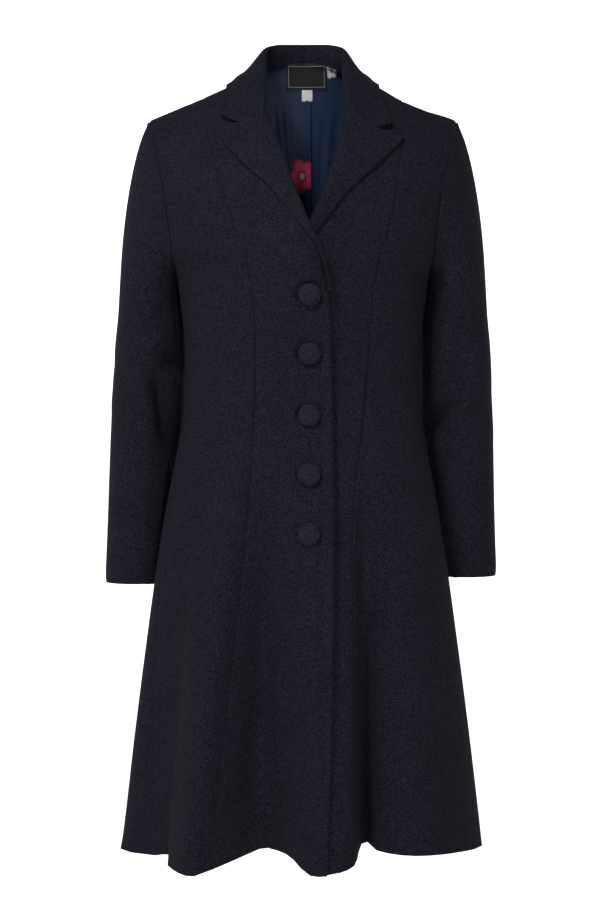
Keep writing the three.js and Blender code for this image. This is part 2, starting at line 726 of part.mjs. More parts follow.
function lapelCells(hand) {
  const { from, edge } = lapelSettings[hand];
  const stations = bodyStations.filter((station) => station >= from && station <= gorgeStation);
  const last = stations.length - 1;
  const edgeSteps = edge.map((row, i) => ({ ...row, share: i / (edge.length - 1) }));
  const edgeX = columnCurve(edgeSteps, 'share', 'x');
  const edgeZ = columnCurve(edgeSteps, 'share', 'z');
  return stations.map((station, i) => {
    const share = (station - from) / (gorgeStation - from);
    const level = i === last ? station - seamGap : station;
    const frame = rollFrame(hand, level);
    const arc = rollArc(frame.place, frame.opening, rollRadius);
    const tip = findPlace(hand, edgeX(share), edgeZ(share));
    const top = smoothRamp(share, lapelTop, 1);
    const fall = lapelShares.map((across) => {
      const dip = gorgeDip * top * Math.sin(Math.PI * clamp(across / dipReach, 0, 1));
      const at = mix(frame.at, tip.at, across);
      const atStation = mix(frame.station, tip.station, across) - dip;
      const place = coatPlace(at, atStation, false, hand === 'right');
      const height = mix(2 * rollRadius + doubledWall, doubledWall + layerGap, across);
      return cellOf(place, -height, doubledWall);
    });
    return [...arc, ...fall];
  });
}

const collarAxis = vector(0, 8, 0);
const neckMiddle = vector(0, 10, 70);
const standSpread = 4.6;
const standDrop = 2.6;
const fallHeights = { middle: doubledWall + 5, lower: doubledWall + 6.1, edge: doubledWall + 4 };
const gorgeGap = 0.45;

// The leaf's corner on each side, as an x and a way, and how far the roll stands from the middle
const leafCorner = { right: { x: 103, way: -66 }, left: { x: 111, way: -72 } };
const rollShare = { right: 0.93, left: 1 };
const neckGap = 0.7;

// Points where the collar is sewn on, from the gorge round to the centre back
function neckline(hand) {
  const { side } = lines[hand];
  const lifted = hand === 'right';
  const front = bodyStations.filter((station) => station > gorgeStation).map((station) => ({
    place: coatPlace(edgeAt(hand, station), station, false, lifted),
  }));
  const back = neckColumns.slice(0, -1).reverse().map((column) => {
    const station = underNeck(shoulderStation, column);
    const at = mix(2 * side, backSeamAt(hand, station), column);
    return { place: coatPlace(at, station, true) };
  });
  return [...front, ...back];
}

function collarColumn(base, opening, hand, along) {
  const side = lines[hand].side;
  const row = (key, index) => smoothCurve(
    collarRows.map((item) => item.along),
    collarRows.map((item) => item[key][index]),
  )(along);
  const onCoat = (down, height) => {
    const way = mix(row('mid', 1), row('edge', 1), down);
    const isBack = way > shoulderStation;
    const station = isBack ? backWay(way) : way;
    const x = mix(row('mid', 0), row('edge', 0), down) * side;
    const at = along === 0 ? 2 * side : traceLine(side, () => x, station, isBack);
    const place = coatPlace(at, station, isBack, hand === 'right');
    return place.point.clone().addScaledVector(place.normal, height);
  };
  const roll = vector(row('roll', 0) * rollShare[hand] * side, row('roll', 1), row('roll', 2));
  const away = roll.clone().sub(collarAxis).setZ(0).normalize();
  const start = base.point.clone().addScaledVector(opening, neckGap)
    .addScaledVector(base.normal, -doubledWall);
  const inside = roll.clone().addScaledVector(away, -standSpread).add(vector(0, 0, -standDrop));
  const outside = roll.clone().addScaledVector(away, standSpread).add(vector(0, 0, -standDrop));
  const middle = onCoat(0, fallHeights.middle);
  return [
    start, between(start, inside, 0.5), inside, roll, outside,
    between(outside, middle, 0.5), middle, onCoat(0.5, fallHeights.lower), onCoat(1, fallHeights.edge),
  ];
}

function gorgeColumn(hand) {
  const { side } = lines[hand];
  const top = lapelCells(hand).pop();
  const notchColumn = arcAngles.length + 1;
  const shift = vector(side * gorgeGap * 0.5, 0, gorgeGap);
  const shared = top.slice(0, notchColumn + 1).map((cell) => ({
    outer: cell.outer.clone().add(shift),
    inner: cell.inner.clone().add(shift),
  }));
  const corner = leafCorner[hand];
  const at = traceLine(side, () => corner.x * side, corner.way, false);
  const place = coatPlace(at, corner.way, false, hand === 'right');
  const end = cellOf(place, -fallHeights.edge, doubledWall);
  const notch = shared[notchColumn];
  const half = {
    outer: between(notch.outer, end.outer, 0.5),
    inner: between(notch.inner, end.inner, 0.5),
  };
  return [...shared, half, end];
}

function collarHalf(hand) {
  const seam = neckline(hand);
  const lengths = [0];
  for (let i = 1; i < seam.length; i += 1) {
    lengths.push(lengths[i - 1] + seam[i].place.point.distanceTo(seam[i - 1].place.point));
  }
  const gorge = rollFrame(hand, gorgeStation).place.point;
  const whole = lengths[lengths.length - 1] + gorge.distanceTo(seam[0].place.point);
  return seam.map(({ place }, i) => {
    const along = i === seam.length - 1 ? 0 : (lengths[lengths.length - 1] - lengths[i]) / whole;
    const before = i === 0 ? gorge : seam[i - 1].place.point;
    const after = i === seam.length - 1
      ? vector(-seam[i - 1].place.point.x, seam[i - 1].place.point.y, seam[i - 1].place.point.z)
      : seam[i + 1].place.point;
    const run = after.clone().sub(before).normalize();
    const opening = place.normal.clone().cross(run).normalize();
    if (opening.dot(neckMiddle.clone().sub(place.point)) < 0) {
      opening.negate();
    }
    return { place, points: collarColumn(place, opening, hand, along), opening };
  });
}

function collarCells() {
  const right = collarHalf('right');
  const left = collarHalf('left').reverse().slice(1);
  const ends = [gorgeColumn('right'), gorgeColumn('left')];
  const stations = [
    { points: ends[0].map((cell) => cell.outer), cells: ends[0] },
    ...right,
    ...left,
    { points: ends[1].map((cell) => cell.outer), cells: ends[1] },
  ];
  const points = stations.map((station) => station.points);
  const normals = gridNormals(points, 1);
  const middle = right.length;
  const outward = normals[middle].at(-1).y > 0 ? 1 : -1;
  return stations.map((station, i) => station.cells ?? points[i].map((point, j) => {
    const base = station.place;
    const direction = j === 0 ? base.normal.clone().negate() : normals[i][j].multiplyScalar(outward);
    return { outer: point, inner: point.clone().addScaledVector(direction, -doubledWall) };
  }));
}

// Lining, label and tag lie on the inside of the back.
const liningDepth = wall + seamGap;
const liningTrim = 0.08;
const labelGap = 0.9;
const neckSearchRise = 8;
const labelDepth = liningDepth + liningWall + labelGap;

function liningCells(hand) {
  const { side } = lines[hand];
  const stations = bodyStations.filter((station) => station >= liningStation);
  const cells = stations.map((station) => centreBackColumns.map((column) => {
    const level = underNeck(station, column);
    const from = trimmed(2 * side, level, true, -side);
    const at = mix(from, trimmed(backSeamAt(hand, level), level, true, side), column);
    return cellOf(coatPlace(at, level, true), liningDepth, liningWall);
  }));
  const top = cells.pop();
  return [...cells, cells[cells.length - 1].map((cell, i) => cellBetween(top[i], cell, liningTrim))];
}

function findBack(x, z) {
  const side = x < 0 ? -1 : 1;
  let low = liningStation;
  let high = backNeckStation + neckSearchRise;
  for (let i = 0; i < searchSteps; i += 1) {
    const middle = (low + high) / 2;
    const at = traceLine(side, () => x, middle, true);
    if (coatPlace(at, middle, true).point.z > z) {
      high = middle;
    } else {
      low = middle;
    }
  }
  return coatPlace(traceLine(side, () => x, low, true), low, true);
}

function labelCells({ left, right, bottom, top, columns, rows }) {
  return evenColumns(rows).map((up) => evenColumns(columns).map((across) => cellOf(
    findBack(mix(left, right, across), mix(bottom, top, up)),
    labelDepth,
    labelWall,
  )));
}
const labelPlace = { left: -22.5, right: 32.5, bottom: -1.5, top: 32, columns: 6, rows: 4 };
const tagPlace = { left: -1, right: 13, bottom: -16.5, top: -2.1, columns: 2, rows: 2 };

// Covered buttons: a low dome on a short shank, from its foot to its top
const shankRadius = 3.5;
const buttonSides = 16;
const buttonRows = [
  { radius: shankRadius, height: 1.9 },
  { radius: buttonRadius - 1.2, height: 1.7 },
  { radius: buttonRadius, height: 2.7 },
  { radius: buttonRadius, height: 3.9 },
  { radius: buttonRadius - 1.6, height: 5.6 },
  { radius: buttonRadius - 5.5, height: buttonHeight - 0.6 },
  { radius: 0, height: buttonHeight },
];

function buttonGeometry(foot) {
  const shank = [{ radius: 0, height: foot }, { radius: shankRadius, height: foot }];
  const profile = [...shank, ...buttonRows].map((row) => new THREE.Vector2(row.radius, row.height));
  return new THREE.LatheGeometry(profile, buttonSides);
}

const cloth = (color, roughness) => new THREE.MeshStandardMaterial({ color, roughness, metalness: 0 });

function mesh(name, geometry, color, roughness = 0.95) {
  const item = new THREE.Mesh(geometry, cloth(color, roughness));
  item.name = name;
  return item;
}

function coat() {
  const group = new THREE.Group();
  for (const hand of ['right', 'left']) {
    const sleeve = sleeveCells(hand);
    const underarm = armStations.length - 1;
    const frontSeam = underarm - frontSeamSteps;
    const backSeam = underarm + backSeamSteps - sleeve.length;
    group.add(
      mesh(`${hand}_centre_front`, closedWall(centreFrontCells(hand)), navy),
      mesh(`${hand}_side_front`, closedWall(sideFrontCells(hand)), navy),
      mesh(`${hand}_side_back`, closedWall(sideBackCells(hand)), navy),
      mesh(`${hand}_centre_back`, closedWall(centreBackCells(hand)), navy),
      mesh(`${hand}_top_sleeve`, closedWall(sleeveRun(sleeve, backSeam, frontSeam)), navy),
      mesh(
        `${hand}_under_sleeve`,
        closedWall(sleeveRun(sleeve, frontSeam, backSeam + sleeve.length)),
        navy,
      ),
      mesh(`${hand}_lapel`, closedWall(lapelCells(hand)), navy),
      mesh(`${hand}_back_lining`, closedWall(liningCells(hand)), liningBlue, 0.45),
    );
  }
  group.add(
    mesh('collar', closedWall(collarCells()), navy),
    mesh('label', closedWall(labelCells(labelPlace)), labelBlack, 0.7),
    mesh('care_tag', closedWall(labelCells(tagPlace)), tagWhite, 0.7),
  );
  buttonPlaces.forEach(({ z, foot }, i) => {
    const found = findPlace('right', buttonX, z);
    const place = coatPlace(found.at, found.station, false, true);
    const button = mesh(`button_${i + 1}`, buttonGeometry(foot), navyButton);
    button.position.copy(place.point);
    button.quaternion.setFromUnitVectors(vector(0, 1, 0), place.normal);
    group.add(button);
  });
  return group;
}

export default coat();
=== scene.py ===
import math

import bpy
import numpy as np
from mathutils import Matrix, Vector


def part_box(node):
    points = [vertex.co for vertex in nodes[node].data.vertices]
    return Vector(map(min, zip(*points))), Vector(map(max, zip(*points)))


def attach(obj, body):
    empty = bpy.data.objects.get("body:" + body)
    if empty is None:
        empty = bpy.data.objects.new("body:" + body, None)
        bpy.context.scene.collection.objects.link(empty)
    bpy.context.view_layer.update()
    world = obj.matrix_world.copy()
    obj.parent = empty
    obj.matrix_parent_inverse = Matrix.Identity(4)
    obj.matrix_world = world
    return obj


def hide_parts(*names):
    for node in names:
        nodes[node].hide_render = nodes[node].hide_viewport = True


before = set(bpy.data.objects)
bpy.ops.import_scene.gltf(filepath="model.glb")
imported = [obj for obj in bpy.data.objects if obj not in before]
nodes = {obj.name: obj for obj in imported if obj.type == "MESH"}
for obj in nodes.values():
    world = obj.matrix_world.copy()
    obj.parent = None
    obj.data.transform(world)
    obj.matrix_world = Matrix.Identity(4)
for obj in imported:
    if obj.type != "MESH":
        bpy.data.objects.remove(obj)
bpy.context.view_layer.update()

mm = 0.001

sides = ("right", "left")
buttonCount = 5
handSign = {"right": -1, "left": 1}

# Cloth finish: rounded edges, seams that are closed and sunk in a narrow line, and smooth faces
edgeRounding = 1.2 * mm
edgeSegments = 2
seamClosing = 0.32 * mm
seamSink = 1.9 * mm
seamNarrowing = 4
sharpRim = math.radians(65)
sharpEdge = math.radians(50)
weldDistance = 0.02 * mm
clothAngle = 60
tapeAngle = 40


def select(piece):
    bpy.ops.object.select_all(action="DESELECT")
    piece.select_set(True)
    bpy.context.view_layer.objects.active = piece


def applyModifier(piece, kind, **values):
    select(piece)
    modifier = piece.modifiers.new(kind.lower(), kind)
    for name, value in values.items():
        setattr(modifier, name, value)
    bpy.ops.object.modifier_apply(modifier=modifier.name)


def shadeSmooth(piece, angle=180):
    select(piece)
    bpy.ops.object.shade_smooth_by_angle(angle=math.radians(angle))


# Colours and materials
def colour(hexText):
    channels = [int(hexText[i:i + 2], 16) / 255 for i in (1, 3, 5)]
    linear = [c / 12.92 if c <= 0.04045 else ((c + 0.055) / 1.055) ** 2.4 for c in channels]
    return (*linear, 1)


def addNode(tree, kind, settings=None, **inputs):
    node = tree.nodes.new("ShaderNode" + kind)
    for name, value in (settings or {}).items():
        setattr(node, name, value)
    for name, value in inputs.items():
        socket = node.inputs[int(name[1:])] if name[0] == "i" and name[1:].isdigit() else None
        socket = socket or node.inputs[name.replace("_", " ")]
        if isinstance(value, bpy.types.NodeSocket):
            tree.links.new(value, socket)
        else:
            socket.default_value = value
    return node


def newMaterial(name, roughness):
    material = bpy.data.materials.new(name)
    material.use_nodes = True
    shader = material.node_tree.nodes["Principled BSDF"]
    shader.inputs["Roughness"].default_value = roughness
    return material, material.node_tree, shader


def math2(tree, operation, a, b=0.0):
    return addNode(tree, "Math", {"operation": operation}, i0=a, i1=b).outputs[0]


def objectPlace(tree):
    return addNode(tree, "TexCoord").outputs["Object"]


# Bulky nubs, fine yarns between them, and faint clouds of tone over both
nubs = {"size": 2.0 * mm, "share": 0.65, "rough": 0.6, "twist": 0.2}
yarns = {"size": 0.7 * mm, "share": 0.35, "rough": 0.6}
clouds = {"size": 60 * mm, "share": 0.04}
boucle = {"low": 0.385, "high": 0.625, "relief": 1.1 * mm, "roughness": 0.92, "specular": 0.12}
nap = {"weight": 0.03, "roughness": 0.5, "tone": "#5a5a70"}


def woolBoucle(name, dark, light, nubScale=1.0):
    material, tree, shader = newMaterial(name, boucle["roughness"])
    place = objectPlace(tree)
    nubNoise = addNode(
        tree, "TexNoise", Vector=place, Scale=1 / (nubs["size"] * nubScale), Detail=2.0,
        Roughness=nubs["rough"], Distortion=nubs["twist"]
    ).outputs["Fac"]
    yarnNoise = addNode(
        tree, "TexNoise", Vector=place, Scale=1 / yarns["size"], Detail=2.0, Roughness=yarns["rough"]
    ).outputs["Fac"]
    cloudNoise = addNode(
        tree, "TexNoise", Vector=place, Scale=1 / clouds["size"], Detail=1.0
    ).outputs["Fac"]
    nubPart = math2(tree, "MULTIPLY", nubNoise, nubs["share"])
    yarnPart = math2(tree, "MULTIPLY", yarnNoise, yarns["share"])
    mixed = math2(tree, "ADD", nubPart, yarnPart)
    cloudPart = math2(tree, "MULTIPLY", math2(tree, "SUBTRACT", cloudNoise, 0.5), clouds["share"])
    toned = math2(tree, "ADD", mixed, cloudPart)
    shade = addNode(tree, "MapRange", Value=toned, From_Min=boucle["low"], From_Max=boucle["high"])
    tint = addNode(
        tree, "Mix", {"data_type": "RGBA"}, Factor=shade.outputs["Result"],
        i6=colour(dark), i7=colour(light)
    )
    tree.links.new(tint.outputs[2], shader.inputs["Base Color"])
    bump = addNode(tree, "Bump", Height=mixed, Strength=1.0, Distance=boucle["relief"])
    tree.links.new(bump.outputs[0], shader.inputs["Normal"])
    shader.inputs["Specular IOR Level"].default_value = boucle["specular"]
    shader.inputs["Sheen Weight"].default_value = nap["weight"]
    shader.inputs["Sheen Roughness"].default_value = nap["roughness"]
    shader.inputs["Sheen Tint"].default_value = colour(nap["tone"])
    return material


# Printed flowers, as seen from the front: middle and radius in millimetres, how much narrower than
# tall, and turn in radians
printRows = {
    "right": [
        {"x": -1, "z": -116, "radius": 24, "narrow": 1.4, "turn": 0.5, "dye": "pink"},
        {"x": -54, "z": -70, "radius": 19, "narrow": 1.1, "turn": 2.1, "dye": "pink"},
        {"x": -42, "z": -196, "radius": 20, "narrow": 1.0, "turn": 0.6, "dye": "pink"},
        {"x": -12, "z": -290, "radius": 18, "narrow": 1.1, "turn": 1.1, "dye": "pink"},
        {"x": -78, "z": -262, "radius": 13, "narrow": 1.0, "turn": 1.9, "dye": "pale"},
    ],
    "left": [
        {"x": 20, "z": -173, "radius": 11, "narrow": 1.0, "turn": 1.2, "dye": "pink"},
        {"x": 38, "z": 21, "radius": 11, "narrow": 1.3, "turn": 0.8, "dye": "pale"},
        {"x": 72, "z": -88, "radius": 20, "narrow": 1.1, "turn": 1.7, "dye": "pink"},
        {"x": 52, "z": -246, "radius": 19, "narrow": 1.0, "turn": 2.6, "dye": "pink"},
        {"x": 88, "z": -190, "radius": 12, "narrow": 1.0, "turn": 0.4, "dye": "pale"},
    ],
}
dyes = {
    "pink": [
        {"at": 0.08, "tone": "#fff6f2"}, {"at": 0.2, "tone": "#f4b0bc"}, {"at": 0.28, "tone": "#a8142f"},
        {"at": 0.42, "tone": "#f8608c"}, {"at": 0.76, "tone": "#f4437a"}, {"at": 0.98, "tone": "#e02c5e"},
    ],
    "pale": [
        {"at": 0.08, "tone": "#a8446c"}, {"at": 0.24, "tone": "#c78aa8"}, {"at": 0.4, "tone": "#ece4ea"},
        {"at": 0.8, "tone": "#dccfdb"}, {"at": 0.98, "tone": "#b3a2ba"},
    ],
}
petalCount = 5
petalDip = 0.26
petalEdge = (0.96, 1.04)
weaveRelief = 0.1 * mm
satin = {"ground": "#223352", "roughness": 0.5, "specular": 0.2, "thread": 0.5 * mm, "bump": 0.15}
tape = {"thread": 0.4 * mm, "bump": 0.3}
label = {"ground": "#141416", "border": "#8f8f94", "roughness": 0.7, "inset": 3.2 * mm, "half": 0.35 * mm}


def flowerOn(tree, under, x, z, row):
    multiply = lambda a, b: math2(tree, "MULTIPLY", a, b)
    dx = multiply(math2(tree, "SUBTRACT", x, row["x"] * mm), row["narrow"])
    dz = math2(tree, "SUBTRACT", z, row["z"] * mm)
    away = math2(tree, "SQRT", math2(tree, "ADD", multiply(dx, dx), multiply(dz, dz)))
    turn = math2(tree, "ADD", math2(tree, "ARCTAN2", dz, dx), row["turn"])
    lobes = math2(tree, "ABSOLUTE", math2(tree, "COSINE", multiply(turn, petalCount / 2)))
    reach = multiply(math2(tree, "ADD", multiply(lobes, petalDip), 1 - petalDip), row["radius"] * mm)
    share = math2(tree, "DIVIDE", away, reach)
    petal = addNode(tree, "ValToRGB", Fac=share)
    ramp = petal.color_ramp
    steps = dyes[row["dye"]]
    for element, step in zip(ramp.elements, (steps[0], steps[-1])):
        element.position, element.color = step["at"], colour(step["tone"])
    for step in steps[1:-1]:
        ramp.elements.new(step["at"]).color = colour(step["tone"])
    mask = addNode(
        tree, "MapRange", Value=share, From_Min=petalEdge[0], From_Max=petalEdge[1], To_Min=1.0, To_Max=0.0
    )
    mixed = addNode(
        tree, "Mix", {"data_type": "RGBA"}, Factor=mask.outputs["Result"],
        i6=under, i7=petal.outputs["Color"]
    )
    return mixed.outputs[2]


def weaveBump(tree, shader, place, threadSize, strength):
    weave = addNode(tree, "TexNoise", Vector=place, Scale=1 / threadSize, Detail=1.0)
    bump = addNode(tree, "Bump", Height=weave.outputs["Fac"], Strength=strength, Distance=weaveRelief)
    tree.links.new(bump.outputs[0], shader.inputs["Normal"])


def satinLining(hand):
    material, tree, shader = newMaterial(f"printed satin {hand}", satin["roughness"])
    place = objectPlace(tree)
    split = addNode(tree, "SeparateXYZ", Vector=place)
    x, z = split.outputs["X"], split.outputs["Z"]
    ground = colour(satin["ground"])
    for row in printRows[hand]:
        ground = flowerOn(tree, ground, x, z, row)
    tree.links.new(ground, shader.inputs["Base Color"])
    weaveBump(tree, shader, place, satin["thread"], satin["bump"])
    shader.inputs["Specular IOR Level"].default_value = satin["specular"]
    return material


def plainTape(name, hexText, roughness=0.75):
    material, tree, shader = newMaterial(name, roughness)
    shader.inputs["Base Color"].default_value = colour(hexText)
    weaveBump(tree, shader, objectPlace(tree), tape["thread"], tape["bump"])
    return material


def wovenLabel(low, high):
    material, tree, shader = newMaterial("woven label", label["roughness"])
    split = addNode(tree, "SeparateXYZ", Vector=objectPlace(tree))
    rims = []
    for axis, name in ((0, "X"), (2, "Z")):
        middle = (low[axis] + high[axis]) / 2
        half = (high[axis] - low[axis]) / 2
        away = math2(tree, "ABSOLUTE", math2(tree, "SUBTRACT", split.outputs[name], middle))
        rims.append(math2(tree, "SUBTRACT", half, away))
    inset = math2(tree, "MINIMUM", rims[0], rims[1])
    line = math2(tree, "COMPARE", inset, label["inset"])
    line.node.inputs[2].default_value = label["half"]
    tint = addNode(
        tree, "Mix", {"data_type": "RGBA"}, Factor=line,
        i6=colour(label["ground"]), i7=colour(label["border"])
    )
    tree.links.new(tint.outputs[2], shader.inputs["Base Color"])
    return material


materials = {
    "wool": woolBoucle("wool boucle", "#0b0a10", "#2c2c3a"),
    # The buttons' wool has smaller nubs and is painted lighter than the coat's, a painted highlight on the
    # buttons' faces
    "buttonWool": woolBoucle("wool over buttons", "#121118", "#343444", 0.8),
    "rightLining": satinLining("right"),
    "leftLining": satinLining("left"),
    "label": wovenLabel(*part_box("label")),
    "tape": plainTape("white tape", "#f4f4f6"),
    "thread": plainTape("buttonhole thread", "#131a34", 0.85),
    # Near-black sheet in each buttonhole's cut: painted shade
    "slit": plainTape("buttonhole slit", "#08080a", 0.9),
}
print("materials", len(materials))


# Soft folds: a line in the front view from point 1 to point 2, in millimetres, how wide it is, how
# high it stands (below 0 it is a trough), which side of the coat it is on, and how far it bows to the
# left of its own run
bodyFolds = [
    {"side": "front", "x1": -78, "z1": -520, "x2": -142, "z2": -1010, "wide": 15, "high": 5.5, "bow": 4},
    {"side": "front", "x1": -40, "z1": -560, "x2": -84, "z2": -1010, "wide": 24, "high": -11, "bow": 2},
    {"side": "front", "x1": -14, "z1": -620, "x2": -28, "z2": -1010, "wide": 18, "high": -4, "bow": 0},
    {"side": "front", "x1": 12, "z1": -560, "x2": 16, "z2": -1010, "wide": 13, "high": 3.5, "bow": 0},
    {"side": "front", "x1": -168, "z1": -640, "x2": -196, "z2": -1000, "wide": 20, "high": -7, "bow": 0},
    {"side": "front", "x1": 78, "z1": -480, "x2": 84, "z2": -1010, "wide": 13, "high": -5, "bow": -3},
    {"side": "front", "x1": -150, "z1": -392, "x2": -96, "z2": -402, "wide": 11, "high": -2.2, "bow": 4},
    {"side": "front", "x1": -152, "z1": -372, "x2": -104, "z2": -376, "wide": 10, "high": 1.6, "bow": 3},
    {"side": "front", "x1": 92, "z1": -404, "x2": 148, "z2": -392, "wide": 11, "high": -2.0, "bow": -3},
    {"side": "front", "x1": 98, "z1": -378, "x2": 150, "z2": -368, "wide": 10, "high": 1.5, "bow": 2},
    {"side": "front", "x1": -140, "z1": -205, "x2": -152, "z2": -262, "wide": 12, "high": -1.8, "bow": 3},
    {"side": "front", "x1": 141, "z1": -205, "x2": 152, "z2": -262, "wide": 12, "high": -1.8, "bow": -3},
    {"side": "front", "x1": -38, "z1": -300, "x2": -4, "z2": -352, "wide": 10, "high": 1.2, "bow": 4},
    {"side": "front", "x1": -52, "z1": -420, "x2": -30, "z2": -380, "wide": 12, "high": -1.2, "bow": 2},
    {"side": "back", "x1": -120, "z1": -396, "x2": -40, "z2": -404, "wide": 12, "high": -2.4, "bow": 5},
    {"side": "back", "x1": 34, "z1": -404, "x2": 122, "z2": -394, "wide": 12, "high": -2.2, "bow": -5},
    {"side": "back", "x1": -96, "z1": -372, "x2": -16, "z2": -382, "wide": 11, "high": 1.6, "bow": 4},
    {"side": "back", "x1": 22, "z1": -384, "x2": 100, "z2": -370, "wide": 11, "high": 1.7, "bow": -4},
    {"side": "back", "x1": -146, "z1": -150, "x2": -118, "z2": -250, "wide": 14, "high": -2.4, "bow": 6},
    {"side": "back", "x1": 146, "z1": -150, "x2": 120, "z2": -250, "wide": 14, "high": -2.4, "bow": -6},
]
# The same for the sleeves, with x counted outwards from the sleeve's middle
sleeveFolds = {
    "right": [
        {"side": "front", "x1": 16, "z1": -368, "x2": -22, "z2": -444, "wide": 12, "high": 6.5, "bow": 3},
        {"side": "front", "x1": -20, "z1": -384, "x2": -40, "z2": -494, "wide": 14, "high": -14, "bow": 3},
        {"side": "front", "x1": -26, "z1": -362, "x2": -50, "z2": -376, "wide": 9, "high": -10, "bow": 1},
        {"side": "front", "x1": 34, "z1": -424, "x2": -16, "z2": -500, "wide": 13, "high": 2.6, "bow": 5},
        {"side": "front", "x1": -26, "z1": -296, "x2": 2, "z2": -342, "wide": 11, "high": -2.6, "bow": -4},
        {"side": "back", "x1": 32, "z1": -372, "x2": -28, "z2": -392, "wide": 13, "high": -3.4, "bow": 5},
        {"side": "back", "x1": 36, "z1": -420, "x2": -24, "z2": -446, "wide": 13, "high": 2.8, "bow": 4},
    ],
    "left": [
        {"side": "front", "x1": 8, "z1": -344, "x2": -42, "z2": -448, "wide": 13, "high": -9, "bow": 3},
        {"side": "front", "x1": -22, "z1": -424, "x2": -50, "z2": -456, "wide": 10, "high": -11, "bow": 0},
        {"side": "front", "x1": 14, "z1": -402, "x2": -38, "z2": -486, "wide": 11, "high": 5, "bow": 3},
        {"side": "front", "x1": 30, "z1": -350, "x2": -4, "z2": -404, "wide": 11, "high": 2.4, "bow": 4},
        {"side": "front", "x1": -20, "z1": -300, "x2": 6, "z2": -352, "wide": 11, "high": -2.4, "bow": -4},
        {"side": "back", "x1": -30, "z1": -380, "x2": 28, "z2": -404, "wide": 13, "high": -3.2, "bow": 5},
        {"side": "back", "x1": -26, "z1": -424, "x2": 32, "z2": -452, "wide": 13, "high": 2.6, "bow": 4},
    ],
}
sleeveMiddle = {"x": 205 * mm, "topY": 15 * mm, "topZ": -285 * mm, "lowY": 72 * mm, "lowZ": -652 * mm}
# How far a fold fades past its ends, in widths, and how it swells along its length
foldFade = 1.5
swellStart = 0.12
swellRun = 0.76


def foldHeight(x, z, front, fold):
    start = np.array([fold["x1"], fold["z1"]]) * mm
    end = np.array([fold["x2"], fold["z2"]]) * mm
    run = end - start
    length = np.hypot(*run)
    across = np.array([-run[1], run[0]]) / length
    along = ((x - start[0]) * run[0] + (z - start[1]) * run[1]) / length ** 2
    inside = np.clip(along, 0, 1)
    bow = fold["bow"] * mm * 4 * inside * (1 - inside)
    off = (x - start[0]) * across[0] + (z - start[1]) * across[1] - bow
    past = (along - inside) * length
    wide = fold["wide"] * mm
    shape = np.exp(-(off / wide) ** 2) * np.exp(-(past / (foldFade * wide)) ** 2)
    swell = np.sin(np.pi * (swellStart + swellRun * inside))
    where = front if fold["side"] == "front" else 1 - front
    return fold["high"] * mm * shape * swell * where


def softStep(value, low, high):
    t = np.clip((value - low) / (high - low), 0, 1)
    return t * t * (3 - 2 * t)


def pointsOf(piece):
    flat = np.empty(3 * len(piece.data.vertices))
    piece.data.vertices.foreach_get("co", flat)
    return flat.reshape(-1, 3)


def setPoints(piece, points):
    piece.data.vertices.foreach_set("co", points.ravel())
    piece.data.update()


# Each pair in the pieces' shapes holds, in metres, where a soft step starts and where it is full.
# bodyFront is how far before the coat's middle the cloth counts as its front.
bodyFront = (-0.02, 0.03)
armhole = {"side": (0.14, 0.152), "top": (-0.31, -0.27)}


def outwardWays(x, y, wide, deep):
    away = np.stack([x / wide ** 2, y / deep ** 2, np.zeros_like(x)], axis=1)
    return away / np.linalg.norm(away, axis=1, keepdims=True)


# Which way a seam sinks: inwards, but straight back or straight forward at the armholes, so that both
# sides of the seam agree
def sinkWay(points, away):
    x, y, z = points.T
    level = np.stack([np.zeros_like(x), 2 * softStep(-y, *bodyFront) - 1, np.zeros_like(x)], axis=1)
    near = softStep(np.abs(x), *armhole["side"]) * softStep(z, *armhole["top"])
    return level * near[:, None] - away * (1 - near)[:, None]


# The right front's rolled edge, in millimetres, and how far the neck opening is drawn aside there
rollEdge = [
    {"z": -245, "x": 24}, {"z": -200, "x": 9.5}, {"z": -154, "x": -8}, {"z": -104, "x": -31},
    {"z": -60, "x": -51},
]
rollReach = 7 * mm
neckSide = {"foot": (-0.245, -0.185), "top": (0.085, 0.15), "inwards": (-0.06, -0.012)}


def openNeck(points):
    x, y, z = points.T
    edge = np.interp(z, [row["z"] * mm for row in rollEdge], [row["x"] * mm for row in rollEdge])
    along = softStep(z, *neckSide["foot"]) * softStep(-z, *neckSide["top"])
    points[:, 0] -= rollReach * along * softStep(x - edge, *neckSide["inwards"])


# The collar's edge rests on the shoulders
collarRest = 2.8 * mm
collarLevel = -4 * mm
collarEdge = {"side": (0.082, 0.094), "level": (-0.03, -0.008)}


def restCollar(piece):
    points = pointsOf(piece)
    x, y, z = points.T
    over = softStep(-np.abs(z - collarLevel), *collarEdge["level"])
    points[:, 2] -= collarRest * softStep(np.abs(x), *collarEdge["side"]) * over
    setPoints(piece, points)


# The right lapel's outer edge bellies out below its tip
bellyStart = np.array([-42, -146]) * mm
bellyEnd = np.array([-110, -72]) * mm
bellyReach = 3.5 * mm
bellyLift = 1.2 * mm
bellyEdge = (-0.03, 0.0)


def rollLapel(piece):
    points = pointsOf(piece)
    openNeck(points)
    run = bellyEnd - bellyStart
    length = np.hypot(*run)
    across = np.array([-run[1], run[0]]) / length
    offset = points[:, [0, 2]] - bellyStart
    along = np.clip(offset @ run / length ** 2, 0, 1)
    weight = np.sin(np.pi * along) * softStep(offset @ across, *bellyEdge)
    points[:, 0] += across[0] * bellyReach * weight
    points[:, 2] += across[1] * bellyReach * weight
    points[:, 1] -= bellyLift * weight
    setPoints(piece, points)


# Where the fronts cross: the right edge rolls forwards, the left front lies back beside it, and the
# cloth dips in a ring round each button
edgeRoll = {"side": "front", "x1": 32, "z1": -270, "x2": 31, "z2": -1010, "wide": 5, "high": 3.0, "bow": 4}
edgeBed = {"side": "front", "x1": 40, "z1": -236, "x2": 40, "z2": -1010, "wide": 13, "high": -8, "bow": 6}
ringDip = {"radius": 15.2 * mm, "wide": 2.4 * mm, "deep": 3.2 * mm}


